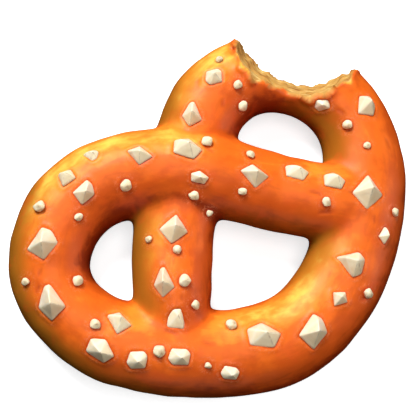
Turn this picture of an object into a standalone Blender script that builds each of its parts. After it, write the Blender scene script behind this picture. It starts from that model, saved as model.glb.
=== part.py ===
"""A soft pretzel, rolled from one rope of dough and strewn with rock salt, with a mouthful bitten away.

Row frame: metres, +Z up. The pretzel lies on its flat underside at z = 0, and the origin is under the
middle of its plan. One arm of the rope runs along X and crosses over the other, which runs along Y.
The dimensions below are in millimetres and degrees, in the rope's own plan, whose middle moves to the
origin at the end.
"""

import math

import bmesh
import bpy
import numpy as np
from mathutils import Matrix, Vector
from mathutils.bvhtree import BVHTree

MM = 0.001

# The rope's middle line, from the sealed end of the upper arm round to the sealed end of the lower arm:
# x, y, height of the middle, half the rope's width.
ROPE_ROUTE = (
    (52.0, 5.0, 14.0, 12.2),  # upper arm, sealed onto the right side
    (41.0, 6.3, 14.0, 13.1),
    (28.0, 8.3, 13.0, 13.4),
    (12.0, 11.6, 13.5, 13.4),
    (-4.0, 15.0, 15.5, 13.7),  # crosses over the lower arm
    (-19.0, 15.5, 13.0, 14.2),
    (-34.0, 11.7, 11.0, 14.3),
    (-46.8, 0.6, 10.8, 13.9),  # near lobe
    (-51.9, -15.0, 10.8, 12.9),
    (-47.6, -28.2, 10.8, 12.7),
    (-36.2, -38.0, 10.8, 13.1),
    (-21.8, -42.9, 11.0, 13.9),
    (-5.0, -44.6, 11.0, 14.3),  # belly
    (12.0, -43.9, 11.0, 14.7),
    (27.0, -39.5, 11.0, 14.8),
    (39.5, -29.5, 11.0, 14.8),
    (48.0, -16.0, 11.0, 15.0),
    (52.5, -2.0, 10.8, 15.0),
    (54.8, 12.0, 10.8, 14.6),
    (54.5, 26.0, 10.8, 14.0),
    (49.6, 38.6, 10.8, 13.2),
    (39.2, 47.6, 10.8, 13.1),  # far lobe
    (25.8, 51.4, 10.8, 13.2),
    (12.5, 49.6, 10.8, 13.6),
    (2.6, 42.0, 10.8, 13.6),
    (-3.6, 29.9, 10.5, 13.4),
    (-6.0, 18.0, 9.5, 13.6),  # passes under the upper arm
    (-9.2, 6.0, 10.5, 13.3),
    (-11.2, -8.0, 11.2, 13.4),
    (-11.7, -22.0, 12.5, 13.2),
    (-10.5, -35.0, 14.5, 12.5),  # lower arm, sealed onto the belly
)
SAMPLES_PER_SPAN = 5
ROPE_ROUNDNESS = 6  # Blender's bevel resolution round the rope
ROPE_SQUASH = 0.9  # the risen rope's height as a share of its width
END_ROUNDING = 9.0  # length over which each sealed end closes to a dome
END_TIP = 0.04  # share of that length left off at the very tip, so that the tube stays open enough to cap
SAME_POINT = 0.05  # points nearer than this are one

FUSE_VOXEL = 1.6  # the strands bake into one another at this fineness
FUSE_PASSES = 8  # rounds of smoothing that fillet the seams between strands
FUSE_STRENGTH = 0.5  # of each round
FACES_KEPT = 0.15

TRAY_DEPTH = 6.0  # of the slab that flattens the underside
TRAY_REACH = 200.0

PLAN_MIDDLE = (2.2, 1.2)  # the middle of the finished plan

BITE_CENTRE = (30.5, 65.5)  # the mouth's middle at the top of the crust
BITE_RADIUS = 24.2
BITE_TOP = 19.0  # height at which the mouth is centred there
BITE_SLOPE = (0.34, 0.52)  # how far the mouth's middle moves outward for each unit of depth
BITE_HEIGHT = 45.0
TOOTH_MARKS = 19  # round the whole mouth
TOOTH_DEPTH = 1.0
TOOTH_MEAN = 0.6  # about the mean of the wave of marks, so that they straddle the mouth's own radius
BITE_SEGMENTS = 114

SALT_SINK = 1.6  # depth of a lump's foot in the crust
SALT_GAP = 0.3  # clearance round a lump in its socket
SALT_RISE = 0.36  # a lump's height as a share of its width
SALT_LIP = 0.2  # the rim stands this far out of the crust
SALT_FOOT = 0.8  # the foot's size as a share of the rim's
SALT_REACH = 10.0  # how far out of the crust a lump's rim is looked for
CLEAR_ABOVE = 60.0  # a height above the whole pretzel

# A lump's corners as directions on its oval outline, then its summit and the shoulder of its ridge as
# shares of its half length and half width.
SALT_FORMS = {
    "diamond": ((355, 85, 183, 265), (0.10, 0.10), (0.05, 0.55)),
    "dart": ((350, 88, 150, 270), (0.10, 0.20), (-0.50, 0.35)),
    "gem": ((350, 58, 147, 243), (0.05, 0.20), (-0.50, 0.40)),
    "pentagon": ((10, 92, 150, 220, 306), (0.10, 0.15), (-0.45, 0.35)),
    "slab": ((6, 59, 130, 218, 312), (0.10, 0.10), (-0.35, 0.50)),
    "block": ((35, 66, 140, 205, 245, 325), (0.10, 0.05), (-0.35, 0.30)),
    "chisel": ((350, 38, 75, 185, 262), (0.15, 0.00), (0.30, 0.55)),
    "wedge": ((17, 53, 153, 276, 313), (0.35, 0.05), (-0.35, 0.35)),
    "tooth": ((343, 90, 112, 190, 262), (0.10, 0.00), (0.00, 0.60)),
}
SHOULDER_HEIGHT = 0.65  # of the summit's

# Each lump's plan place, length, width, turn and form.
SALT_LUMPS = (
    (0.5, 45.5, 6.6, 6.6, 0, "block"),
    (-6.5, 32.5, 7.2, 9.0, -8, "tooth"),
    (-9.0, 20.0, 10.6, 8.0, -15, "pentagon"),
    (-24.0, 17.5, 9.2, 6.6, 0, "dart"),
    (-39.0, 17.5, 5.8, 4.6, 5, "wedge"),
    (-46.5, 10.0, 6.4, 6.4, 5, "gem"),
    (-41.0, 5.5, 7.2, 8.6, 0, "chisel"),
    (-5.0, 10.5, 6.6, 4.6, -5, "pentagon"),
    (13.0, 12.0, 10.6, 8.4, 8, "dart"),
    (27.5, 14.0, 9.0, 6.6, -8, "pentagon"),
    (40.0, 11.5, 8.4, 6.8, -5, "pentagon"),
    (51.5, 8.0, 11.4, 12.8, 0, "diamond"),
    (52.5, 38.0, 7.4, 9.2, 0, "slab"),
    (38.0, 39.0, 6.4, 5.8, 10, "block"),
    (-12.5, -5.5, 9.8, 10.2, -5, "diamond"),
    (-15.5, -22.5, 7.2, 10.2, 0, "tooth"),
    (-11.5, -33.5, 7.6, 9.8, 0, "slab"),
    (-53.5, -11.0, 10.6, 10.8, 15, "chisel"),
    (-50.0, -29.0, 9.2, 12.0, 8, "tooth"),
    (-29.5, -35.0, 8.8, 7.6, -5, "dart"),
    (-35.0, -43.5, 10.2, 7.8, -28, "pentagon"),
    (-23.5, -46.5, 7.2, 7.0, -10, "block"),
    (-10.5, -45.5, 8.0, 6.4, -12, "block"),
    (16.0, -39.0, 12.0, 9.4, 0, "pentagon"),
    (32.0, -37.5, 10.2, 12.0, 10, "chisel"),
    (41.0, -27.0, 5.8, 6.2, -12, "gem"),
    (45.0, -15.5, 10.6, 9.8, 0, "wedge"),
    (57.0, -6.0, 4.2, 6.0, 5, "chisel"),
    (5.5, -50.5, 6.8, 5.2, -20, "block"),
)

CRUST_COLOUR = (0.72, 0.23, 0.035)
CRUST_ROUGHNESS = 0.5
SALT_COLOUR = (0.80, 0.68, 0.45)
SALT_ROUGHNESS = 0.45


def clear_scene():
    for old in list(bpy.data.objects):
        bpy.data.objects.remove(old)


def new_collection(name):
    made = bpy.data.collections.new(name)
    bpy.context.scene.collection.children.link(made)
    return made


def new_material(name, colour, roughness):
    made = bpy.data.materials.new(name)
    made.use_nodes = True
    shader = made.node_tree.nodes["Principled BSDF"]
    shader.inputs["Base Color"].default_value = (*colour, 1.0)
    shader.inputs["Roughness"].default_value = roughness
    shader.inputs["Metallic"].default_value = 0.0
    return made


def smooth_route(points, samples):
    """A Catmull-Rom curve through the points, open at both ends."""
    known = np.array(points, float)
    padded = np.vstack([2 * known[0] - known[1], known, 2 * known[-1] - known[-2]])
    t = np.linspace(0, 1, samples, endpoint=False)[:, None]
    spans = []
    for a, b, c, d in zip(padded, padded[1:], padded[2:], padded[3:]):
        bend = (2 * a - 5 * b + 4 * c - d) * t**2 + (3 * b - a - 3 * c + d) * t**3
        spans.append(0.5 * (2 * b + (c - a) * t + bend))
    return np.vstack(spans + [known[-1:]])


def dome_ends(route):
    """Shrinks the half width over each end so that the rope closes like a dome."""
    steps = np.linalg.norm(np.diff(route[:, :3], axis=0), axis=1)
    along = np.concatenate([[0.0], np.cumsum(steps)])
    from_end = np.minimum(along, along[-1] - along)
    rise = np.clip(from_end / END_ROUNDING, END_TIP, 1.0)
    route[:, 3] *= np.sqrt(1 - (1 - rise) ** 2)
    return route


def rope_mesh(route):
    """The rope as one swept tube, which still runs through itself where it crosses and is sealed."""
    curve = bpy.data.curves.new("rope", "CURVE")
    curve.dimensions = "3D"
    curve.bevel_depth = MM
    curve.bevel_resolution = ROPE_ROUNDNESS
    curve.use_fill_caps = True
    spline = curve.splines.new("POLY")
    spline.points.add(len(route) - 1)
    for point, (x, y, z, half_width) in zip(spline.points, route):
        point.co = (x * MM, y * MM, z * MM / ROPE_SQUASH, 1.0)
        point.radius = half_width
    guide = bpy.data.objects.new("rope_guide", curve)
    bpy.context.scene.collection.objects.link(guide)
    graph = bpy.context.evaluated_depsgraph_get()
    mesh = bpy.data.meshes.new_from_object(guide.evaluated_get(graph))
    bpy.data.objects.remove(guide)
    mesh.transform(Matrix.Diagonal((1.0, 1.0, ROPE_SQUASH, 1.0)))
    tube = bmesh.new()
    tube.from_mesh(mesh)
    bmesh.ops.remove_doubles(tube, verts=tube.verts, dist=SAME_POINT * MM)
    tube.to_mesh(mesh)
    tube.free()
    return mesh


def add_object(name, mesh, collection, parent, material=None):
    made = bpy.data.objects.new(name, mesh)
    made.parent = parent
    collection.objects.link(made)
    if material:
        mesh.materials.append(material)
    else:
        made.hide_render = True
        made.display_type = "WIRE"
    return made


def cut_away(target, cutter):
    cut = target.modifiers.new(cutter.name, "BOOLEAN")
    cut.operation = "DIFFERENCE"
    cut.solver = "EXACT"
    cut.object = cutter


def make_dough(collection, parent, material):
    route = dome_ends(smooth_route(ROPE_ROUTE, SAMPLES_PER_SPAN))
    dough = add_object("pretzel", rope_mesh(route), collection, parent, material)
    fuse = dough.modifiers.new("fuse", "REMESH")
    fuse.mode = "VOXEL"
    fuse.voxel_size = FUSE_VOXEL * MM
    fillet = dough.modifiers.new("fillet", "SMOOTH")
    fillet.factor = FUSE_STRENGTH
    fillet.iterations = FUSE_PASSES
    thin = dough.modifiers.new("thin", "DECIMATE")
    thin.ratio = FACES_KEPT
    return dough


def tray_mesh():
    """A slab whose top is the tray that the dough baked flat on."""
    slab = bmesh.new()
    bmesh.ops.create_cube(slab, size=1.0)
    size = Matrix.Diagonal((TRAY_REACH * MM, TRAY_REACH * MM, TRAY_DEPTH * MM, 1.0))
    bmesh.ops.transform(slab, matrix=size, verts=slab.verts)
    bmesh.ops.translate(slab, vec=(0.0, 0.0, -TRAY_DEPTH / 2 * MM), verts=slab.verts)
    mesh = bpy.data.meshes.new("tray")
    slab.to_mesh(mesh)
    slab.free()
    return mesh


def mouth_mesh():
    """A leaning round cup with a wave of tooth marks round it."""
    mouth = bmesh.new()
    bmesh.ops.create_cone(
        mouth, cap_ends=True, segments=BITE_SEGMENTS, radius1=1.0, radius2=1.0, depth=BITE_HEIGHT
    )
    for vert in mouth.verts:
        around = math.atan2(vert.co.y, vert.co.x)
        mark = abs(math.cos(around * TOOTH_MARKS / 2)) - TOOTH_MEAN
        reach = BITE_RADIUS + TOOTH_DEPTH * mark
        vert.co.z += BITE_HEIGHT / 2 - TRAY_DEPTH
        depth = BITE_TOP - vert.co.z
        vert.co.x = vert.co.x * reach + BITE_CENTRE[0] + BITE_SLOPE[0] * depth
        vert.co.y = vert.co.y * reach + BITE_CENTRE[1] + BITE_SLOPE[1] * depth
    bmesh.ops.transform(mouth, matrix=Matrix.Scale(MM, 4), verts=mouth.verts)
    mesh = bpy.data.meshes.new("mouth")
    mouth.to_mesh(mesh)
    mouth.free()
    return mesh


def surface_of(dough):
    """The dough's crust as it stands, for dropping the salt onto it."""
    graph = bpy.context.evaluated_depsgraph_get()
    shown = dough.evaluated_get(graph)
    mesh = shown.to_mesh()
    points = [vertex.co.copy() for vertex in mesh.vertices]
    faces = [face.vertices[:] for face in mesh.polygons]
    tree = BVHTree.FromPolygons(points, faces)
    shown.to_mesh_clear()
    return tree


def lump_points(crust, x, y, length, width, turn, form):
    """A lump's corner points: its rim follows the crust, its foot is sunk in it, its ridge stands on top."""
    directions, summit, shoulder = SALT_FORMS[form]
    top = Vector((x * MM, y * MM, CLEAR_ABOVE * MM))
    centre, normal, _, _ = crust.ray_cast(top, Vector((0, 0, -1)))
    along = Vector((math.cos(math.radians(turn)), math.sin(math.radians(turn)), 0))
    along = (along - along.dot(normal) * normal).normalized()
    across = normal.cross(along)

    def on_plane(u, v, height):
        return centre + (along * u * length / 2 + across * v * width / 2 + normal * height) * MM

    rim = []
    foot = []
    for direction in directions:
        u = math.cos(math.radians(direction))
        v = math.sin(math.radians(direction))
        above = on_plane(u, v, SALT_REACH)
        touch = crust.ray_cast(above, -normal)[0] or on_plane(u, v, 0.0)
        rim.append(touch + normal * SALT_LIP * MM)
        foot.append(centre.lerp(touch, SALT_FOOT) - normal * SALT_SINK * MM)
    height = SALT_RISE * width
    crest = [on_plane(*summit, height), on_plane(*shoulder, SHOULDER_HEIGHT * height)]
    return rim + foot + crest


def add_hull(shell, points):
    """Adds the convex hull of the points to an open bmesh."""
    added = [shell.verts.new(point) for point in points]
    made = bmesh.ops.convex_hull(shell, input=added)
    outside = {vert for face in made["geom"] if isinstance(face, bmesh.types.BMFace) for vert in face.verts}
    spare = [vert for vert in added if vert not in outside]
    bmesh.ops.delete(shell, geom=spare, context="VERTS")


def swollen(points, by):
    """The points moved outward from their middle."""
    middle = sum(points, Vector()) / len(points)
    return [point + (point - middle).normalized() * by * MM for point in points]


def hulls_mesh(name, point_sets):
    shells = bmesh.new()
    for points in point_sets:
        add_hull(shells, points)
    bmesh.ops.recalc_face_normals(shells, faces=shells.faces)
    mesh = bpy.data.meshes.new(name)
    shells.to_mesh(mesh)
    shells.free()
    return mesh


def main():
    clear_scene()
    parts = new_collection("soft_pretzel")
    cutters = new_collection("cutters")
    crust = new_material("crust", CRUST_COLOUR, CRUST_ROUGHNESS)
    salt = new_material("salt", SALT_COLOUR, SALT_ROUGHNESS)
    root = bpy.data.objects.new("soft_pretzel_root", None)
    parts.objects.link(root)

    dough = make_dough(parts, root, crust)
    surface = surface_of(dough)
    lumps = [lump_points(surface, *lump) for lump in SALT_LUMPS]
    for number, points in enumerate(lumps, 1):
        name = f"salt_{number:02d}"
        add_object(name, hulls_mesh(name, [points]), parts, root, salt)
    sockets = hulls_mesh("sockets", [swollen(points, SALT_GAP) for points in lumps])
    cut_away(dough, add_object("tray", tray_mesh(), cutters, root))
    cut_away(dough, add_object("mouth", mouth_mesh(), cutters, root))
    cut_away(dough, add_object("sockets", sockets, cutters, root))
    root.location = (-PLAN_MIDDLE[0] * MM, -PLAN_MIDDLE[1] * MM, 0.0)


main()
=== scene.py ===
# A soft pretzel with coarse salt and a mouthful gone: its looks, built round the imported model.
import itertools
import math
import bpy
import numpy as np
from mathutils import Matrix


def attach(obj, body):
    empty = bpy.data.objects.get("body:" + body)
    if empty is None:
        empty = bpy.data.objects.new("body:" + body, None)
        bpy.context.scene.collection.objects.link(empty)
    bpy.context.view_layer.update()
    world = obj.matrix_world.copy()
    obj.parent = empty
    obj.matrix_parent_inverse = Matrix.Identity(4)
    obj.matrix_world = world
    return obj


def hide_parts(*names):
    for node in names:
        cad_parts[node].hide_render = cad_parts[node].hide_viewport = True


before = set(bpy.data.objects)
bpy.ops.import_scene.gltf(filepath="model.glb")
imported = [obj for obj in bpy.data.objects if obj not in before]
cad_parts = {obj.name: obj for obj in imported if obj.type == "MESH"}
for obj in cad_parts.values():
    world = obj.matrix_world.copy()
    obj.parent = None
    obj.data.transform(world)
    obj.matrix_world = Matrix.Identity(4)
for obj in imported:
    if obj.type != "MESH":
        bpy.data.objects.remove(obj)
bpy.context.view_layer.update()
mm = 0.001
print("packed model loaded")


# Shapes, all in millimetres until they become a mesh

def meshObject(name, points, faces):
    # arrays of points and of equal-sided faces become one smooth-shaded object at the origin
    mesh = bpy.data.meshes.new(name)
    mesh.vertices.add(len(points))
    mesh.vertices.foreach_set("co", (points * mm).astype(np.float32).ravel())
    mesh.loops.add(faces.size)
    mesh.loops.foreach_set("vertex_index", faces.astype(np.int32).ravel())
    mesh.polygons.add(len(faces))
    mesh.polygons.foreach_set("loop_start", np.arange(0, faces.size, faces.shape[1], dtype=np.int32))
    mesh.update(calc_edges=True)
    mesh.shade_smooth()
    made = bpy.data.objects.new(name, mesh)
    bpy.context.scene.collection.objects.link(made)
    return made


def pointsOf(mesh):
    points = np.empty(len(mesh.vertices) * 3)
    mesh.vertices.foreach_get("co", points)
    return points.reshape(-1, 3) / mm


def addAttribute(made, label, values):
    layer = made.data.attributes.new(label, "FLOAT", "POINT")
    layer.data.foreach_set("value", values.astype(np.float32))


def edgeEnds(mesh):
    # both ways along every edge: the point it leaves and the point it reaches
    ends = np.empty(len(mesh.edges) * 2, np.int32)
    mesh.edges.foreach_get("vertices", ends)
    ends = ends.reshape(-1, 2)
    return np.concatenate([ends, ends[:, ::-1]])


def evened(values, ends, rounds, share=0.5):
    # each value moves by a share towards the mean of its neighbours', some rounds over
    count = np.maximum(np.bincount(ends[:, 0], minlength=len(values)), 1)
    columns = values.reshape(len(values), -1).T
    for _ in range(rounds):
        means = [np.bincount(ends[:, 0], column[ends[:, 1]], len(values)) / count for column in columns]
        columns = columns + share * (np.array(means) - columns)
    return columns.T.reshape(values.shape)


def closedSkin(firstPole, rings, lastPole):
    # rings of points between two poles, joined by triangles that all face the same way round
    rows, columns = rings.shape[:2]
    ring = np.arange(columns)
    beside = (ring + 1) % columns
    start = 1 + np.arange(rows - 1)[:, None] * columns
    a, b, c, d = start + ring, start + beside, start + beside + columns, start + ring + columns
    body = [np.stack(corner, -1).reshape(-1, 3) for corner in ((a, b, c), (a, c, d))]
    first = np.stack([np.zeros_like(ring), 1 + beside, 1 + ring], -1)
    last = 1 + (rows - 1) * columns
    final = np.stack([np.full_like(ring, last + columns), last + ring, last + beside], -1)
    points = np.vstack([firstPole, rings.reshape(-1, 3), lastPole])
    return points, np.concatenate([first, *body, final])


def eased(values, low, high):
    # 0 below low, 1 above high, with a smooth step between
    share = np.clip((values - low) / (high - low), 0, 1)
    return share * share * (3 - 2 * share)


def unit(vectors):
    return vectors / np.maximum(np.linalg.norm(vectors, axis=-1, keepdims=True), 1e-9)


noiseCells = 32
noiseTable = np.random.default_rng(7).uniform(-1, 1, (noiseCells,) * 3)


def softNoise(points, size, shift=0.0):
    # random values at the corners of cells of that size, eased and blended between the corners
    where = points / size + shift
    cell = np.floor(where).astype(int)
    part = where - cell
    part = part * part * (3 - 2 * part)
    total = 0
    for corner in itertools.product((0, 1), repeat=3):
        near = np.where(corner, part, 1 - part)
        x, y, z = ((cell + corner) % noiseCells).T
        total = total + near[:, 0] * near[:, 1] * near[:, 2] * noiseTable[x, y, z]
    return total


def blendedMost(first, second, width):
    # the larger of two values, rounded over where they are within a width of each other
    return width * np.logaddexp(first / width, second / width)


# The dough: one rope carried round, fused where it touches itself, flat below and bitten

dough = {
    "route": (  # x, y, height of the middle, half width, from the upper arm's end to the lower arm's
        (52.0, 5.0, 14.0, 12.2), (41.0, 6.3, 14.0, 13.1), (28.0, 8.3, 13.0, 13.4),
        (12.0, 11.6, 13.5, 13.4), (-4.0, 15.0, 15.5, 13.7), (-19.0, 15.5, 13.0, 14.2),
        (-34.0, 11.7, 11.0, 14.3), (-46.8, 0.6, 10.8, 13.9), (-51.9, -15.0, 10.8, 12.9),
        (-47.6, -28.2, 10.8, 12.7), (-36.2, -38.0, 10.8, 13.1), (-21.8, -42.9, 11.0, 13.9),
        (-5.0, -44.6, 11.0, 14.3), (12.0, -43.9, 11.0, 14.7), (27.0, -39.5, 11.0, 14.8),
        (39.5, -29.5, 11.0, 14.8), (48.0, -16.0, 11.0, 15.0), (52.5, -2.0, 10.8, 15.0),
        (54.8, 12.0, 10.8, 14.6), (54.5, 26.0, 10.8, 14.0), (49.6, 38.6, 10.8, 13.2),
        (39.2, 47.6, 10.8, 13.1), (25.8, 51.4, 10.8, 13.2), (12.5, 49.6, 10.8, 13.6),
        (2.6, 42.0, 10.8, 13.6), (-3.6, 29.9, 10.5, 13.4), (-6.0, 18.0, 9.5, 13.6),
        (-9.2, 6.0, 10.5, 13.3), (-11.2, -8.0, 11.2, 13.4), (-11.7, -22.0, 12.5, 13.2),
        (-10.5, -35.0, 14.5, 12.5),
    ),
    "planMiddle": (2.2, 1.2),
    "squash": 0.9,  # height as a share of width
    "samples": 10,  # on each span of the route
    "around": 28,
    "endRounding": 9.0,
    "endTip": 0.04,
    "fillet": 1.5,  # how far strands flow into each other
    "trim": 0.45,  # taken off all round, for what the fillets add
    "baseRounding": 0.9,
    "firstVoxel": 1.1,
    "voxel": 0.7,
    "rounds": 4,  # of settling the mesh onto the worked-out surface
    "step": 0.9,  # the most that a point moves in a round
}


def smoothRoute(route, samples):
    # a curve through all the points: each span leaves a point along the line between its neighbours
    known = np.array(route, float)
    known[:, :2] -= dough["planMiddle"]
    padded = np.vstack([2 * known[0] - known[1], known, 2 * known[-1] - known[-2]])
    a, b, c, d = (padded[i : i + len(known) - 1, None] for i in range(4))
    t = np.linspace(0, 1, samples, endpoint=False)[None, :, None]
    curve = 2 * b + (c - a) * t + (2 * a - 5 * b + 4 * c - d) * t**2 + (3 * b - a - 3 * c + d) * t**3
    return np.vstack([0.5 * curve.reshape(-1, known.shape[1]), known[-1:]])


def distanceAlong(places):
    # the length of the line through the places, up to each of them
    steps = np.linalg.norm(np.diff(places, axis=0), axis=1)
    return np.concatenate([[0.0], np.cumsum(steps)])


def domeEnds(route):
    # the half width closes like a quarter circle over each end
    along = distanceAlong(route[:, :3])
    rise = np.clip(np.minimum(along, along[-1] - along) / dough["endRounding"], dough["endTip"], 1)
    route[:, 3] *= np.sqrt(1 - (1 - rise) ** 2)
    return route


rope = domeEnds(smoothRoute(dough["route"], dough["samples"]))
ropeMiddle = rope[:, :3] / (1, 1, dough["squash"])
ropeHalf = rope[:, 3]
ropeSpacing = np.gradient(distanceAlong(ropeMiddle))
ropeShare = ropeSpacing / np.sqrt(2 * math.pi * dough["fillet"] * np.maximum(ropeHalf, 3.0))


def ropeSkin():
    # a circle of the rope's half width carried along its route, then lowered by the squash
    ahead = unit(np.gradient(ropeMiddle, axis=0))
    side = unit(np.cross(ahead, (0, 0, 1)))
    above = np.cross(side, ahead)
    turn = np.linspace(0, 2 * math.pi, dough["around"], endpoint=False)[None, :, None]
    spoke = np.cos(turn) * side[:, None] + np.sin(turn) * above[:, None]
    rings = ropeMiddle[:, None] + ropeHalf[:, None, None] * spoke
    points, faces = closedSkin(ropeMiddle[:1], rings, ropeMiddle[-1:])
    return points * (1, 1, dough["squash"]), faces


def ropeFit(points):
    # height of each point over the rope: its distance to every round slice less that slice's half width,
    # and the least of these, blended so that strands which meet flow into one another;
    # then how many strands meet there, which is what the blend adds up
    flat = points / (1, 1, dough["squash"])
    height, meeting = [], []
    for some in np.array_split(flat, max(1, len(flat) // 20000)):
        square = (some**2).sum(1)[:, None] + (ropeMiddle**2).sum(1) - 2 * some @ ropeMiddle.T
        over = np.sqrt(np.maximum(square, 1e-6)) - ropeHalf
        least = over.min(axis=1, keepdims=True)
        total = (ropeShare * np.exp((least - over) / dough["fillet"])).sum(axis=1)
        height.append(least[:, 0] - dough["fillet"] * np.log(total) + dough["trim"])
        meeting.append(total)
    return np.concatenate(height), np.concatenate(meeting)


# The mouthful: a leaning round cup of tooth marks, torn crust at its rim and ragged crumb on its wall

mouth = {
    "centre": (30.5, 65.5),
    "radius": 24.2,
    "top": 19.0,
    "slope": (0.34, 0.52),  # how far the middle moves outward for each unit of depth
    "height": 45.0,
    "below": 6.0,
    "around": 96,
    "teeth": 19,
    "toothDepth": 0.7,
    "toothMean": 0.6,
    "tearMean": -1.6,  # the torn crust hangs out over the crumb, on the whole
    "tearBy": 2.6,  # and comes and goes by this
    "tearSize": 3.2,
    "tearDepth": 2.6,  # how far under the crust the tears reach
    "edgeRounding": 0.35,
    "crags": 0.5,
    "strands": 0.5,
    "pucker": 2.5,
    "puckerSize": 2.9,
    "puckerReach": 2.4,
    "puckerLift": 0.3,  # so that more of the edge is puffed than pinched
}


def mouthPlace(points):
    # direction round the mouth in degrees, and distance from its leaning middle line
    down = mouth["top"] - points[:, 2]
    centre = np.subtract(mouth["centre"], dough["planMiddle"])
    away = points[:, :2] - centre - down[:, None] * mouth["slope"]
    return np.degrees(np.arctan2(away[:, 1], away[:, 0])), np.linalg.norm(away, axis=1)


def toothMarks(turn):
    # a wave of marks round the mouth, about its own radius
    return mouth["toothDepth"] * (np.abs(np.cos(turn * mouth["teeth"] / 2)) - mouth["toothMean"])


def mouthDepth(points, under):
    # how far inside the mouth each point is: the tooth marks' radius, moved by the torn edge near the crust
    # and by crags and slanting strands of crumb deeper down, less the distance from the middle line
    turn, away = mouthPlace(points)
    marks = toothMarks(np.radians(turn))
    nearCrust = np.exp(-np.clip(under, 0, None) / mouth["tearDepth"])
    rim = np.radians(turn)[:, None] * (mouth["radius"], 0, 0)
    torn = (mouth["tearMean"] + mouth["tearBy"] * softNoise(rim, mouth["tearSize"], 6.0)) * nearCrust
    round3d = np.stack([np.radians(turn) * mouth["radius"], away, points[:, 2]], -1)
    slant = round3d @ np.array([[0.35, 0, 0.15], [0, 1, 0], [-0.3, 0, 0.95]])
    crags = softNoise(round3d, 4.6, 3.0) + 0.55 * softNoise(round3d, 2.3, 9.0)
    strands = 1 - 2 * np.abs(softNoise(slant, 1.9, 5.0))
    rough = (mouth["crags"] * crags + mouth["strands"] * (strands - 0.4)) * (1 - 0.7 * nearCrust)
    return mouth["radius"] + marks + torn + rough - away


def mouthSkin():
    # a cylinder with the plain tooth marks, sheared along the mouth's slope
    turn = np.linspace(0, 2 * math.pi, mouth["around"], endpoint=False)
    height = np.array([-mouth["below"], mouth["height"] - mouth["below"]])
    reach = mouth["radius"] + toothMarks(turn)
    circle = np.stack([reach * np.cos(turn), reach * np.sin(turn)], -1)
    centre = np.subtract(mouth["centre"], dough["planMiddle"])
    middle = centre + (mouth["top"] - height)[:, None] * mouth["slope"]
    levels = np.broadcast_to(height[:, None, None], (len(height), len(turn), 1))
    rings = np.concatenate([middle[:, None] + circle, levels], -1)
    poles = np.column_stack([middle, height])
    return closedSkin(poles[:1], rings, poles[1:])


# The salt lumps: each packed lump's flat faces, with their edges worn round

lumps = {
    "names": sorted(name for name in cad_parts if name.startswith("salt_")),
    "sharpness": 17,  # higher is crisper edges
    "rows": 40,
    "columns": 64,
    "unevenness": 0.025,
    "raise": 0.22,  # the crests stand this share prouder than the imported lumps'
    "ridgeWidth": 0.11,
    "shadeSide": (0.62, -0.78),  # the side of the summit away from the key lamp, where painted shade falls: tan streaks down the ridges and darker lower faces
}


def globeOf(rows, columns):
    # unit directions, in rows from pole to pole
    rise = np.linspace(0, math.pi, rows + 2)[:, None]
    turn = np.linspace(0, 2 * math.pi, columns, endpoint=False)
    corners = (np.sin(rise) * np.cos(turn), np.sin(rise) * np.sin(turn), np.cos(rise))
    return np.stack(np.broadcast_arrays(*corners), -1)


def facetsOf(mesh):
    # one outward direction and one distance from the middle for each flat face of a convex lump
    corners = pointsOf(mesh)
    middle = (corners.min(0) + corners.max(0)) / 2
    normals = np.empty(len(mesh.polygons) * 3)
    mesh.polygons.foreach_get("normal", normals)
    centres = np.empty(len(mesh.polygons) * 3)
    mesh.polygons.foreach_get("center", centres)
    normals = normals.reshape(-1, 3)
    reach = ((centres.reshape(-1, 3) / mm - middle) * normals).sum(1)
    flats = np.unique(np.round(np.column_stack([normals, reach]), 3), axis=0)
    return middle, flats[:, :3], np.maximum(flats[:, 3], 0.3)


def swell(offsets, normals, reach):
    # how many times larger the lump would have to be to reach each point: the greatest share of any face,
    # blended by a high power so that edges and corners are worn, and the runner-up's share of the greatest
    share = np.maximum(offsets @ (normals / reach[:, None]).T, 1e-6)
    most = share.max(axis=1)
    size = most * ((share / most[:, None]) ** lumps["sharpness"]).sum(axis=1) ** (1 / lumps["sharpness"])
    second = np.sort(share, axis=1)[:, -2]
    return size, second / most


lumpFacets = {name: facetsOf(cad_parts[name].data) for name in lumps["names"]}


# The small grains: faceted pebbles, scattered along the rope clear of the lumps

grains = {
    "count": 26,
    "lengths": (2.0, 4.0),
    "widths": (0.85, 1.05),  # as a share of the length
    "spread": 0.7,  # from the crest, as a share of the half width
    "apart": 7.0,
    "clearOfLumps": 1.4,
    "clearOfMouth": 4.0,
    "seed": 4,
    "height": 0.72,  # as a share of the length
    "sunk": 0.22,
    "facets": 13,
    "rows": 14,
    "columns": 22,
    "sharpness": 16,
}

wrinkles = {
    "count": 16,
    "lengths": (3.0, 6.0),
    "depths": (0.2, 0.4),
    "lean": 40.0,  # degrees from the rope's own line
    "spread": 0.5,  # from the crest, as a share of the half width
    "seed": 5,
}

crust = {
    "swellSize": 13.0,
    "swellBy": 0.45,
    "dimpleSize": 5.0,
    "dimpleBy": 0.14,
    "collarAt": 0.9,  # a lump presses the crust up into a collar this far out
    "collarWidth": 0.7,
    "collarBy": 0.32,
    "pressBy": 0.22,
    "creaseWidth": 0.55,
}


def besideRope(chance, count, spread):
    # drawn slices of the rope, and for each a plan place up to a share of its half width to either side
    slices = chance.integers(len(ropeMiddle), size=count)
    ahead = unit(np.gradient(ropeMiddle, axis=0))[slices]
    off = chance.uniform(-spread, spread, count) * ropeHalf[slices]
    return ropeMiddle[slices, :2] + off[:, None] * unit(np.cross(ahead, (0, 0, 1)))[:, :2], ahead


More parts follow.
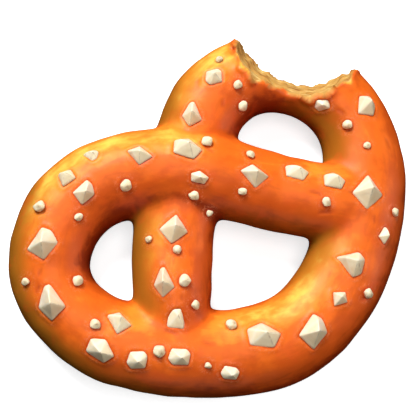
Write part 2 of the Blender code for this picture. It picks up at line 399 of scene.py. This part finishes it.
def drawWrinkles():
    # plan place, heading, length and depth of each short wrinkle
    chance = np.random.default_rng(wrinkles["seed"])
    places, ahead = besideRope(chance, wrinkles["count"], wrinkles["spread"])
    lean = np.radians(chance.uniform(-wrinkles["lean"], wrinkles["lean"], len(places)))
    heading = np.arctan2(ahead[:, 1], ahead[:, 0]) + lean
    sizes = [chance.uniform(*wrinkles[label], len(places)) for label in ("lengths", "depths")]
    return np.column_stack([places, heading, *sizes])


wrinkleRows = drawWrinkles()


def creaseMarks(points):
    # each wrinkle is a valley whose section and length both fade like a bell
    marks = np.zeros(len(points))
    for x, y, heading, length, depth in wrinkleRows:
        off = points[:, :2] - (x, y)
        along = off @ (math.cos(heading), math.sin(heading))
        across = off @ (-math.sin(heading), math.cos(heading)) - 0.05 * along**2
        mark = 0.75 * depth * np.exp(-((across / crust["creaseWidth"]) ** 2) - (2.6 * along / length) ** 4)
        marks = np.maximum(marks, mark * eased(points[:, 2], 8, 13))
    return marks


farGap = 9.0  # stands for any distance from the salt too great to matter


def lumpGaps(points):
    # distance from each point of the crust to the nearest salt lump, about
    gaps = np.full(len(points), farGap)
    for middle, normals, reach in lumpFacets.values():
        offsets = points - middle
        near = np.flatnonzero((offsets**2).sum(1) < 13.0**2)
        size, _ = swell(offsets[near], normals, reach)
        far = np.linalg.norm(offsets[near], axis=1)
        gaps[near] = np.minimum(gaps[near], far * (1 - 1 / size))
    return gaps


def grainGaps(points):
    # distance from each point of the crust to the nearest grain
    gaps = np.full(len(points), farGap)
    for top, _, length, width in grainSpots:
        offsets = np.linalg.norm(points - top, axis=1)
        gaps = np.minimum(gaps, offsets - (length + width) / 4)
    return gaps


def crustRelief(points, gaps):
    # slow swells and fainter dimples, wrinkles, and a collar that each lump presses up round itself
    slow = crust["swellBy"] * softNoise(points, crust["swellSize"], 1.0)
    fine = crust["dimpleBy"] * softNoise(points, crust["dimpleSize"], 6.0)
    collar = crust["collarBy"] * np.exp(-(((gaps - crust["collarAt"]) / crust["collarWidth"]) ** 2))
    press = crust["pressBy"] * np.exp(-((gaps / 0.35) ** 2))
    return slow + fine + collar - press - creaseMarks(points)


def puckers(points):
    # lumps that run across the torn edge of the crust, from noise measured round the mouth
    turn, away = mouthPlace(points)
    spread = np.stack([np.radians(turn) * mouth["radius"], 0.45 * away, 0.6 * points[:, 2]], -1)
    broad = softNoise(spread, mouth["puckerSize"], 4.0)
    narrow = softNoise(spread, 0.5 * mouth["puckerSize"], 8.0)
    return broad + mouth["puckerLift"] + 0.35 * narrow


def doughParts(points, gaps):
    # height over the crust with its relief, and depth into the mouth
    plain, _ = ropeFit(points)
    inMouth = mouthDepth(points, -plain)
    edge = np.exp(-((np.clip(-inMouth, 0, None) / mouth["puckerReach"]) ** 2))
    return plain - crustRelief(points, gaps) - mouth["pucker"] * edge * puckers(points), inMouth


def strokePlace(points):
    # the nearest slice of rope gives a point's distance along it, and the turn from the slice's top gives
    # its distance round it
    flat = points / (1, 1, dough["squash"])
    ahead = unit(np.gradient(ropeMiddle, axis=0))
    side = unit(np.cross(ahead, (0, 0, 1)))
    distance = np.cumsum(ropeSpacing)
    along, around = [], []
    for some in np.array_split(flat, max(1, len(flat) // 20000)):
        square = (some**2).sum(1)[:, None] + (ropeMiddle**2).sum(1) - 2 * some @ ropeMiddle.T
        nearest = np.argmin(np.sqrt(np.maximum(square, 0)) - ropeHalf, axis=1)
        off = some - ropeMiddle[nearest]
        turn = np.arctan2((off * side[nearest]).sum(1), off[:, 2])
        along.append(distance[nearest] + (off * ahead[nearest]).sum(1))
        around.append(turn * ropeHalf[nearest])
    return np.concatenate(along), np.concatenate(around)


def doughHeight(points, gaps):
    over, inMouth = doughParts(points, gaps)
    whole = blendedMost(over, -points[:, 2], dough["baseRounding"])
    return blendedMost(whole, inMouth, mouth["edgeRounding"])


def applied(made):
    # the object's mesh with its modifiers worked in
    graph = bpy.context.evaluated_depsgraph_get()
    mesh = bpy.data.meshes.new_from_object(made.evaluated_get(graph))
    made.modifiers.clear()
    made.data = mesh
    return made


def fuse(made, voxel):
    skin = made.modifiers.new("fuse", "REMESH")
    skin.mode = "VOXEL"
    skin.voxel_size = voxel * mm
    return applied(made)


def settle(mesh):
    # rounds of evening the points out along the surface, then moving each along the slope of the worked-out
    # height until it stands at zero
    points = pointsOf(mesh)
    ends = edgeEnds(mesh)
    nudge = 0.12
    for _ in range(dough["rounds"]):
        points = evened(points, ends, 2)
        gaps = lumpGaps(points)
        height = doughHeight(points, gaps)
        slopes = []
        for axis in range(3):
            moved = points.copy()
            moved[:, axis] += nudge
            slopes.append((doughHeight(moved, gaps) - height) / nudge)
        slope = np.stack(slopes, -1)
        steep = np.maximum((slope**2).sum(1), 0.25)
        move = -slope * (height / steep)[:, None]
        length = np.linalg.norm(move, axis=1, keepdims=True)
        points = points + move * np.minimum(1, dough["step"] / np.maximum(length, 1e-6))
    points[:, 2] = np.maximum(points[:, 2], 0)
    mesh.vertices.foreach_set("co", (points * mm).astype(np.float32).ravel())
    mesh.update()
    return points, unit(slope)


def makeDough():
    piece = fuse(meshObject("bakedDough", *ropeSkin()), dough["firstVoxel"])
    bite = meshObject("mouthful", *mouthSkin())
    cut = piece.modifiers.new("bite", "BOOLEAN")
    cut.operation = "DIFFERENCE"
    cut.object = bite
    applied(piece)
    bpy.data.objects.remove(bite)
    fuse(piece, dough["voxel"])
    points, outward = settle(piece.data)
    piece.data.shade_smooth()
    return piece, points, outward


doughPiece, doughPoints, doughOut = makeDough()
print("dough settled,", len(doughPoints), "points")


def crustAt(x, y):
    # the crust's top at a plan place: the highest height where the worked-out surface crosses zero,
    # and the direction out of it there
    heights = np.linspace(0, 34, 341)
    column = np.column_stack([np.full_like(heights, x), np.full_like(heights, y), heights])
    inside = np.flatnonzero(doughHeight(column, np.full(len(column), farGap)) < 0)
    top = column[inside[-1]]
    near = top + np.vstack([np.zeros(3), 0.2 * np.eye(3)])
    level = doughHeight(near, np.full(len(near), farGap))
    return top, unit(level[1:] - level[0])


def makeLump(name):
    # directions over a globe, each carried out until it meets the lump's worn faces
    middle, normals, reach = lumpFacets[name]
    globe = globeOf(lumps["rows"], lumps["columns"])
    flat = globe.reshape(-1, 3)
    size, runnerUp = swell(flat, normals, reach)
    uneven = 1 + lumps["unevenness"] * softNoise(flat + middle, 0.55, 2.0)
    offsets = flat / size[:, None] * uneven[:, None]
    _, out = crustAt(*middle[:2])
    points = middle + offsets + lumps["raise"] * np.maximum(offsets @ out, 0)[:, None] * out
    rings = points.reshape(globe.shape)[1:-1, ::-1]
    skin, faces = closedSkin(points[:1], rings, points[-1:])
    piece = meshObject(name.replace("salt_", "saltLump"), skin, faces)
    # the worn edges, which get a painted highlight
    ridge = eased(runnerUp, 1 - lumps["ridgeWidth"], 1.0)
    summit = points[np.argmax(points[:, 2])]
    off = points - summit
    down = unit(off[:, :2]) @ np.array(lumps["shadeSide"])
    fade = np.exp(-np.linalg.norm(off, axis=1) / (0.5 * np.ptp(points[:, 0])))
    # painted shade in tan streaks down the ridges on the side away from the key lamp
    streak = ridge * eased(down, 0.35, 0.85) * (0.4 + 0.6 * fade)
    # painted shade over the lower faces on the side away from the key lamp
    stain = eased(down, -0.3, 0.9) * eased(-off[:, 2] / np.ptp(points[:, 2]), 0.0, 0.5)
    for label, values in (("ridge", ridge), ("streak", streak), ("stain", stain)):
        inner = values.reshape(globe.shape[:2])[1:-1, ::-1].ravel()
        addAttribute(piece, label, np.concatenate([values[:1], inner, values[-1:]]))
    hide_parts(name)
    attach(piece, "root")
    return piece


lumpPieces = [makeLump(name) for name in lumps["names"]]
print("salt lumps,", len(lumpPieces))


def scatterGrains():
    # drawn places beside the rope's crest, kept when clear of the mouth, the lumps and earlier grains:
    # the crust's top and the way out of it there, and the grain's length and width
    chance = np.random.default_rng(grains["seed"])
    spots = []
    while len(spots) < grains["count"]:
        (place,), _ = besideRope(chance, 1, grains["spread"])
        length = chance.uniform(*grains["lengths"])
        width = length * chance.uniform(*grains["widths"])
        _, away = mouthPlace(np.array([[*place, mouth["top"]]]))
        if away[0] < mouth["radius"] + grains["clearOfMouth"]:
            continue
        top, out = crustAt(*place)
        clear = lumpGaps(top[None])[0] > grains["clearOfLumps"] + length / 2
        if clear and all(np.linalg.norm(top - spot[0]) > grains["apart"] for spot in spots):
            spots.append((top, out, length, width))
    return spots


grainSpots = scatterGrains()


def makeGrains():
    # each pebble is a globe whose reach is cut down by flat faces in seeded directions, then sized,
    # stood on the crust's own slope and sunk in it
    chance = np.random.default_rng(11)
    globe = globeOf(grains["rows"], grains["columns"])
    flat = globe.reshape(-1, 3)
    allPoints, allFaces, allShadeStreaks, allLowerRightShades = [], [], [], []
    for top, out, length, width in grainSpots:
        normals = unit(chance.normal(size=(grains["facets"], 3)) * (1, 1, 0.8))
        reach = chance.uniform(0.86, 1.0, grains["facets"])
        share = np.maximum(flat @ (normals / reach[:, None]).T, 0.72)
        size = (share ** grains["sharpness"]).mean(axis=1) ** (1 / grains["sharpness"])
        size = np.maximum(size, 0.5)
        pebble = flat / size[:, None]
        pebble = pebble / np.abs(pebble).max(axis=0)
        along = unit(np.cross((0, 1, 0), out))
        stand = np.stack([along, np.cross(out, along), out])
        height = grains["height"] * min(length, width)
        points = top + (pebble * (length / 2, width / 2, height / 2)) @ stand
        points = points + out * height * (0.5 - grains["sunk"])
        rings = points.reshape(globe.shape)[1:-1]
        skin, faces = closedSkin(points[:1], rings, points[-1:])
        allFaces.append(faces[:, ::-1] + sum(len(some) for some in allPoints))
        allPoints.append(skin)
        # painted shade: a tan patch just off each grain's summit, towards the lower right
        towards = np.linalg.norm(pebble - (0.25, -0.2, 0.9), axis=1)
        streak = 0.8 * np.exp(-((towards / 0.42) ** 2))
        # painted shade on the grain's faces away from the key lamp
        stain = eased(pebble[:, :2] @ np.array(lumps["shadeSide"]), -0.4, 1.0)
        for values, kept in ((streak, allShadeStreaks), (stain, allLowerRightShades)):
            inner = values.reshape(globe.shape[:2])[1:-1].ravel()
            kept.append(np.concatenate([values[:1], inner, values[-1:]]))
    piece = meshObject("saltGrains", np.vstack(allPoints), np.vstack(allFaces))
    addAttribute(piece, "streak", np.concatenate(allShadeStreaks))
    addAttribute(piece, "ridge", np.zeros(len(piece.data.vertices)))
    addAttribute(piece, "stain", np.concatenate(allLowerRightShades))
    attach(piece, "root")
    return piece


grainsPiece = makeGrains()
print("salt grains,", len(grainSpots))


# Finishes

class Wire:
    # a value in a shader that Python's own operators work on; each one adds its Math node
    def __init__(self, finish, socket):
        self.finish = finish
        self.socket = socket

    def worked(self, operation, first, second=0.0):
        return self.finish.node("ShaderNodeMath", {"operation": operation}, {0: first, 1: second})

    def __add__(self, other):
        return self.worked("ADD", self, other)

    def __sub__(self, other):
        return self.worked("SUBTRACT", self, other)

    def __rsub__(self, other):
        return self.worked("SUBTRACT", other, self)

    def __mul__(self, other):
        return self.worked("MULTIPLY", self, other)

    def capped(self):
        return self.finish.node("ShaderNodeClamp", {}, {"Value": self})

    def between(self, low, high):
        values = {"Value": self, "From Min": low, "From Max": high}
        return self.finish.node("ShaderNodeMapRange", {"interpolation_type": "SMOOTHSTEP"}, values)

    __radd__ = __add__
    __rmul__ = __mul__


class Finish:
    # one material, and the one way to add any node to it
    def __init__(self, name):
        self.material = bpy.data.materials.new(name)
        self.material.use_nodes = True
        self.tree = self.material.node_tree
        self.tree.nodes.clear()

    def node(self, kind, settings=None, values=None, output=0):
        made = self.tree.nodes.new(kind)
        for name, value in (settings or {}).items():
            if name == "stops":
                self.setStops(made.color_ramp, value)
            else:
                setattr(made, name, value)
        for name, value in (values or {}).items():
            if isinstance(value, Wire):
                self.tree.links.new(value.socket, made.inputs[name])
            else:
                made.inputs[name].default_value = value
        return Wire(self, made.outputs[output])

    def setStops(self, ramp, stops):
        ramp.interpolation = "EASE"
        for place, colour in stops[1:-1]:
            ramp.elements.new(place)
        for element, (place, colour) in zip(ramp.elements, stops):
            element.position = place
            element.color = (*colour, 1.0)

    def attribute(self, name):
        return self.node("ShaderNodeAttribute", {"attribute_name": name}, output="Fac")

    def noise(self, scale, detail=2.0, distortion=0.0, stretch=(1, 1, 1)):
        place = self.node("ShaderNodeTexCoord", output="Object")
        place = self.node("ShaderNodeMapping", {}, {"Vector": place, "Scale": stretch})
        values = {"Vector": place, "Scale": scale, "Detail": detail, "Distortion": distortion}
        return self.node("ShaderNodeTexNoise", {}, values)

    def mixed(self, factor, first, second):
        first, second = (c if isinstance(c, Wire) else (*c, 1.0) for c in (first, second))
        return self.node("ShaderNodeMix", {"data_type": "RGBA"}, {0: factor, 6: first, 7: second}, 2)

    def shaded(self, values):
        shader = self.node("ShaderNodeBsdfPrincipled", {}, values)
        end = self.tree.nodes.new("ShaderNodeOutputMaterial")
        self.tree.links.new(shader.socket, end.inputs["Surface"])


def crustFinish():
    f = Finish("bakedCrust")
    tone = f.attribute("tone")
    patches = f.noise(95, 3.0, 0.6)
    fine = f.noise(330, 3.0, 0.4)
    lengthwise, crosswise = f.attribute("along") * 0.14, f.attribute("around") * 0.38
    stroke = f.node("ShaderNodeCombineXYZ", {}, {0: lengthwise, 1: crosswise})
    values = {"Vector": stroke, "Scale": 1.0, "Detail": 3.0, "Distortion": 0.5}
    strokes = f.node("ShaderNodeTexNoise", {}, values)
    # painted light and shade from the facing tone, broken up by random patches and strokes along the rope;
    # the ramp runs from maroon painted shade to pale yellow painted highlight
    brushed = (tone + (patches - 0.5) * 0.30 + (fine - 0.5) * 0.10 + (strokes - 0.5) * 0.22).capped()
    stops = (
        (0.00, (0.110, 0.0080, 0.0010)),
        (0.25, (0.260, 0.0240, 0.0020)),
        (0.48, (0.640, 0.0900, 0.0070)),
        (0.66, (0.860, 0.1500, 0.0110)),
        (0.82, (0.900, 0.2800, 0.0240)),
        (1.00, (0.920, 0.6200, 0.0950)),
    )
    colour = f.node("ShaderNodeValToRGB", {"stops": stops}, {"Fac": brushed})
    # painted olive shade on the left-facing outer flanks
    colour = f.mixed(f.attribute("olive") * 0.9, colour, (0.34, 0.130, 0.010))
    blush = f.noise(140, 2.0, 0.8).between(0.52, 0.72)
    colour = f.mixed(blush * 0.25, colour, (0.78, 0.09, 0.015))
    scratch = f.attribute("halo") * f.noise(900, 2.0, 1.5).between(0.5, 0.62)
    colour = f.mixed(scratch * 0.35, colour, (0.85, 0.26, 0.12))
    # painted shade round each salt lump and grain
    colour = f.mixed(f.attribute("contact") * 0.6, colour, (0.42, 0.035, 0.008))
    # painted shade in the wrinkles
    colour = f.mixed(f.attribute("crease") * 0.7, colour, (0.36, 0.028, 0.008))
    # the torn edge: deep red, with a pale yellow painted highlight on its puffed lumps
    flapHighlights = f.mixed(f.attribute("flap"), (0.86, 0.170, 0.030), (0.97, 0.640, 0.090))
    colour = f.mixed(f.attribute("torn") * 0.9, colour, flapHighlights)
    crumbTone = f.noise(420, 4.0, 1.0)
    crumb = f.node(
        "ShaderNodeValToRGB",
        {"stops": ((0.22, (0.36, 0.130, 0.022)), (0.50, (0.66, 0.350, 0.085)), (0.80, (0.94, 0.700, 0.260)))},
        {"Fac": crumbTone * 0.3 + f.attribute("crag") * 0.7},
    )
    inCrumb = f.attribute("crumb")
    colour = f.mixed(inCrumb, colour, crumb)
    base = f.mixed(f.noise(60, 4.0), (0.16, 0.045, 0.012), (0.34, 0.12, 0.030))
    colour = f.mixed(f.attribute("under"), colour, base)
    rough = inCrumb * 0.4 + f.noise(200, 2.0) * 0.12 + 0.36
    wrinkle = f.noise(520, 3.0, 0.3) * (inCrumb * 0.8 + 0.2)
    bump = f.node("ShaderNodeBump", {}, {"Height": wrinkle, "Strength": 0.35, "Distance": 0.0005})
    f.shaded({
        "Base Color": colour, "Roughness": rough, "Normal": bump, "Specular IOR Level": 0.2,
        "Subsurface Weight": 0.06, "Subsurface Radius": (1.0, 0.35, 0.12), "Subsurface Scale": 0.0015,
    })
    return f.material


def saltFinish():
    f = Finish("rockSalt")
    mottle = f.noise(380, 3.0, 0.4)
    colour = f.mixed(mottle, (0.88, 0.72, 0.43), (0.95, 0.87, 0.65))
    ragged = f.noise(700, 3.0, 0.8).between(0.3, 0.55)
    # painted shade over the lower faces on the side away from the key lamp
    colour = f.mixed(f.attribute("stain") * 0.35, colour, (0.62, 0.44, 0.200))
    # painted shade in ragged tan streaks down the ridges on that side
    colour = f.mixed(f.attribute("streak") * ragged * 0.85, colour, (0.38, 0.22, 0.10))
    # painted highlight along the worn edges
    colour = f.mixed(f.attribute("ridge") * (1 - f.attribute("streak")) * 0.35, colour, (0.95, 0.91, 0.80))
    pitted = f.noise(600, 4.0, 0.5)
    bump = f.node("ShaderNodeBump", {}, {"Height": pitted, "Strength": 0.2, "Distance": 0.0004})
    rough = f.noise(300) * 0.2 + 0.32
    f.shaded({
        "Base Color": colour, "Roughness": rough, "Normal": bump, "Specular IOR Level": 0.4,
        "Subsurface Weight": 0.12, "Subsurface Radius": (1.0, 0.8, 0.6), "Subsurface Scale": 0.002,
    })
    return f.material


toning = {
    "towards": (-0.40, 0.60, 0.70),  # painted light and shade: crust facing this way, towards the key lamp, is painted lightest
    "facing": (-1.0, -0.4, 0.1, 0.55, 0.80, 0.93, 1.0),
    "tone": (0.15, 0.26, 0.42, 0.56, 0.68, 0.84, 0.95),
    "evening": 14,
    "meeting": 0.22,  # how much painted shade darkens the crust where strands meet
    # painted olive shade falls on the outer flanks that face this way, left and a little down
    "oliveShadeTowards": (-0.85, -0.28, -0.12),
    "haloFrom": 0.9,
    "haloTo": 2.6,
}


def finishDough():
    # what each point of the dough is: its painted light and shade, and where salt, wrinkles, tears and crumb
    # are
    gaps = np.minimum(lumpGaps(doughPoints), grainGaps(doughPoints))
    over, inMouth = doughParts(doughPoints, lumpGaps(doughPoints))
    facing = doughOut @ unit(np.array(toning["towards"]))
    crumb = 1 / (1 + np.exp(np.clip((over - inMouth) / 0.12, -30, 30)))
    turn, away = mouthPlace(doughPoints)
    outside = np.clip(-inMouth, 0, None)
    torn = np.exp(-((outside / 1.7) ** 2)) * (1 - crumb)
    _, meeting = ropeFit(doughPoints)
    # painted light and shade: lighter where the crust faces the key lamp, darker where it faces away, and
    # painted shade where strands meet
    tone = np.interp(facing, toning["facing"], toning["tone"]) - toning["meeting"] * eased(meeting, 1.15, 1.8)
    tone = evened(tone, edgeEnds(doughPiece.data), toning["evening"])
    # painted olive shade on the outer flanks facing left and a little down
    smoothOut = evened(doughOut, edgeEnds(doughPiece.data), 8)
    olive = eased(smoothOut @ unit(np.array(toning["oliveShadeTowards"])), 0.05, 0.75)
    lengthwise = np.radians(turn) * mouth["radius"] * 0.3
    strand = np.stack([lengthwise, 0.6 * away, doughPoints[:, 2] + 0.25 * away], -1)
    crag = 0.5 + (away - mouth["radius"]) * 0.05
    crag = crag + 0.30 * softNoise(strand, 1.5, 2.0) + 0.2 * softNoise(strand, 0.7, 7.0)
    along, around = strokePlace(doughPoints)
    halo = eased(gaps, 0.2, toning["haloFrom"]) * (1 - eased(gaps, toning["haloFrom"], toning["haloTo"]))
    addAttribute(doughPiece, "tone", tone)
    addAttribute(doughPiece, "crumb", crumb)
    addAttribute(doughPiece, "crag", crag)
    addAttribute(doughPiece, "torn", torn)
    # painted highlight on the puffed lumps along the torn edge
    addAttribute(doughPiece, "flap", (1 - eased(outside, 0.5, 1.5)) * eased(puckers(doughPoints), -0.5, 0.1))
    addAttribute(doughPiece, "olive", olive)
    addAttribute(doughPiece, "along", along)
    addAttribute(doughPiece, "around", around)
    addAttribute(doughPiece, "halo", halo)
    # painted shade in a ring where each salt lump and grain meets the crust
    addAttribute(doughPiece, "contact", 1 - eased(gaps, 0.1, 0.6))
    # painted shade in the wrinkle valleys
    addAttribute(doughPiece, "crease", creaseMarks(doughPoints) / 0.35)
    addAttribute(doughPiece, "under", 1 - eased(doughPoints[:, 2], 0.3, 1.6))
    doughPiece.data.materials.clear()
    doughPiece.data.materials.append(crustFinish())
    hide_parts("pretzel")
    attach(doughPiece, "root")


finishDough()
rockSalt = saltFinish()
for piece in [*lumpPieces, grainsPiece]:
    piece.data.materials.append(rockSalt)
print("finishes set")


# The table top, lamps and camera

setting = {
    "floorHalf": 1.5,
    "floorDrop": 0.0002,
    "floorColour": (0.93, 0.93, 0.93),
    "floorGlow": 0.75,
}


def makeFloor():
    half = setting["floorHalf"] / mm
    corners = np.array([(-half, -half, 0), (half, -half, 0), (half, half, 0), (-half, half, 0)], float)
    corners[:, 2] -= setting["floorDrop"] / mm
    floor = meshObject("tableTop", corners, np.array([[0, 1, 2, 3]]))
    f = Finish("paleTable")
    colour = (*setting["floorColour"], 1.0)
    f.shaded({
        "Base Color": colour, "Roughness": 0.9,
        "Emission Color": colour, "Emission Strength": setting["floorGlow"],
    })
    floor.data.materials.append(f.material)
    floor.visible_diffuse = False
    floor.visible_glossy = False


def aimed(made, place, target, up=(0, 1, 0)):
    # the made thing looks along its own -Z from its place to the target, with up kept up
    back = unit(np.subtract(place, target))
    right = unit(np.cross(up, back))
    above = np.cross(back, right)
    turned = np.eye(4)
    turned[:3] = np.column_stack([right, above, back, place])
    made.matrix_world = Matrix(turned.tolist())
    return made


def addLamp(name, direction, distance, size, power):
    # a round lamp at a distance along the direction from the middle of the pretzel
    light = bpy.data.lights.new(name, "AREA")
    light.shape = "DISK"
    light.size = size
    light.energy = power
    lamp = bpy.data.objects.new(name, light)
    bpy.context.scene.collection.objects.link(lamp)
    place = unit(np.array(direction, float)) * distance
    return aimed(lamp, place, (0, 0, 0.01), (0.01, 0.02, 1))


lamps = (  # name, direction, distance, size, power
    ("keyLamp", (-0.42, 0.72, 0.80), 0.8, 0.40, 7.9),
    ("topLamp", (0.0, 0.0, 1.0), 0.9, 0.6, 2.6),
    ("fillLamp", (0.95, 0.0, 0.50), 0.9, 0.5, 2.0),
    ("frontLamp", (0.1, -0.95, 0.30), 0.9, 0.5, 0.7),
)

view = {
    "tilt": 13.0,  # from straight above
    "side": 225.0,
    "distance": 0.2917,
    "target": (-0.0022, -0.0012, 0.0105),
    "lens": 75.0,
    "shift": (0.0083, 0.0214),
}


def makeCamera():
    tilt, side = math.radians(view["tilt"]), math.radians(view["side"])
    back = np.array([math.sin(tilt) * math.cos(side), math.sin(tilt) * math.sin(side), math.cos(tilt)])
    lensData = bpy.data.cameras.new("camera")
    lensData.lens = view["lens"]
    lensData.shift_x, lensData.shift_y = view["shift"]
    lensData.clip_start = 0.005
    camera = bpy.data.objects.new("camera", lensData)
    bpy.context.scene.collection.objects.link(camera)
    aimed(camera, np.array(view["target"]) + back * view["distance"], view["target"])
    bpy.context.scene.camera = camera


makeFloor()
for lamp in lamps:
    addLamp(*lamp)
makeCamera()

world = bpy.data.worlds.new("paleRoom")
bpy.context.scene.world = world
world.use_nodes = True
world.node_tree.nodes["Background"].inputs["Color"].default_value = (1, 1, 1, 1)
world.node_tree.nodes["Background"].inputs["Strength"].default_value = 1.0
world.cycles_visibility.diffuse = False
world.cycles_visibility.glossy = False
world.cycles_visibility.transmission = False
bpy.context.scene.view_settings.view_transform = "Standard"
print("table, lamps and camera set")
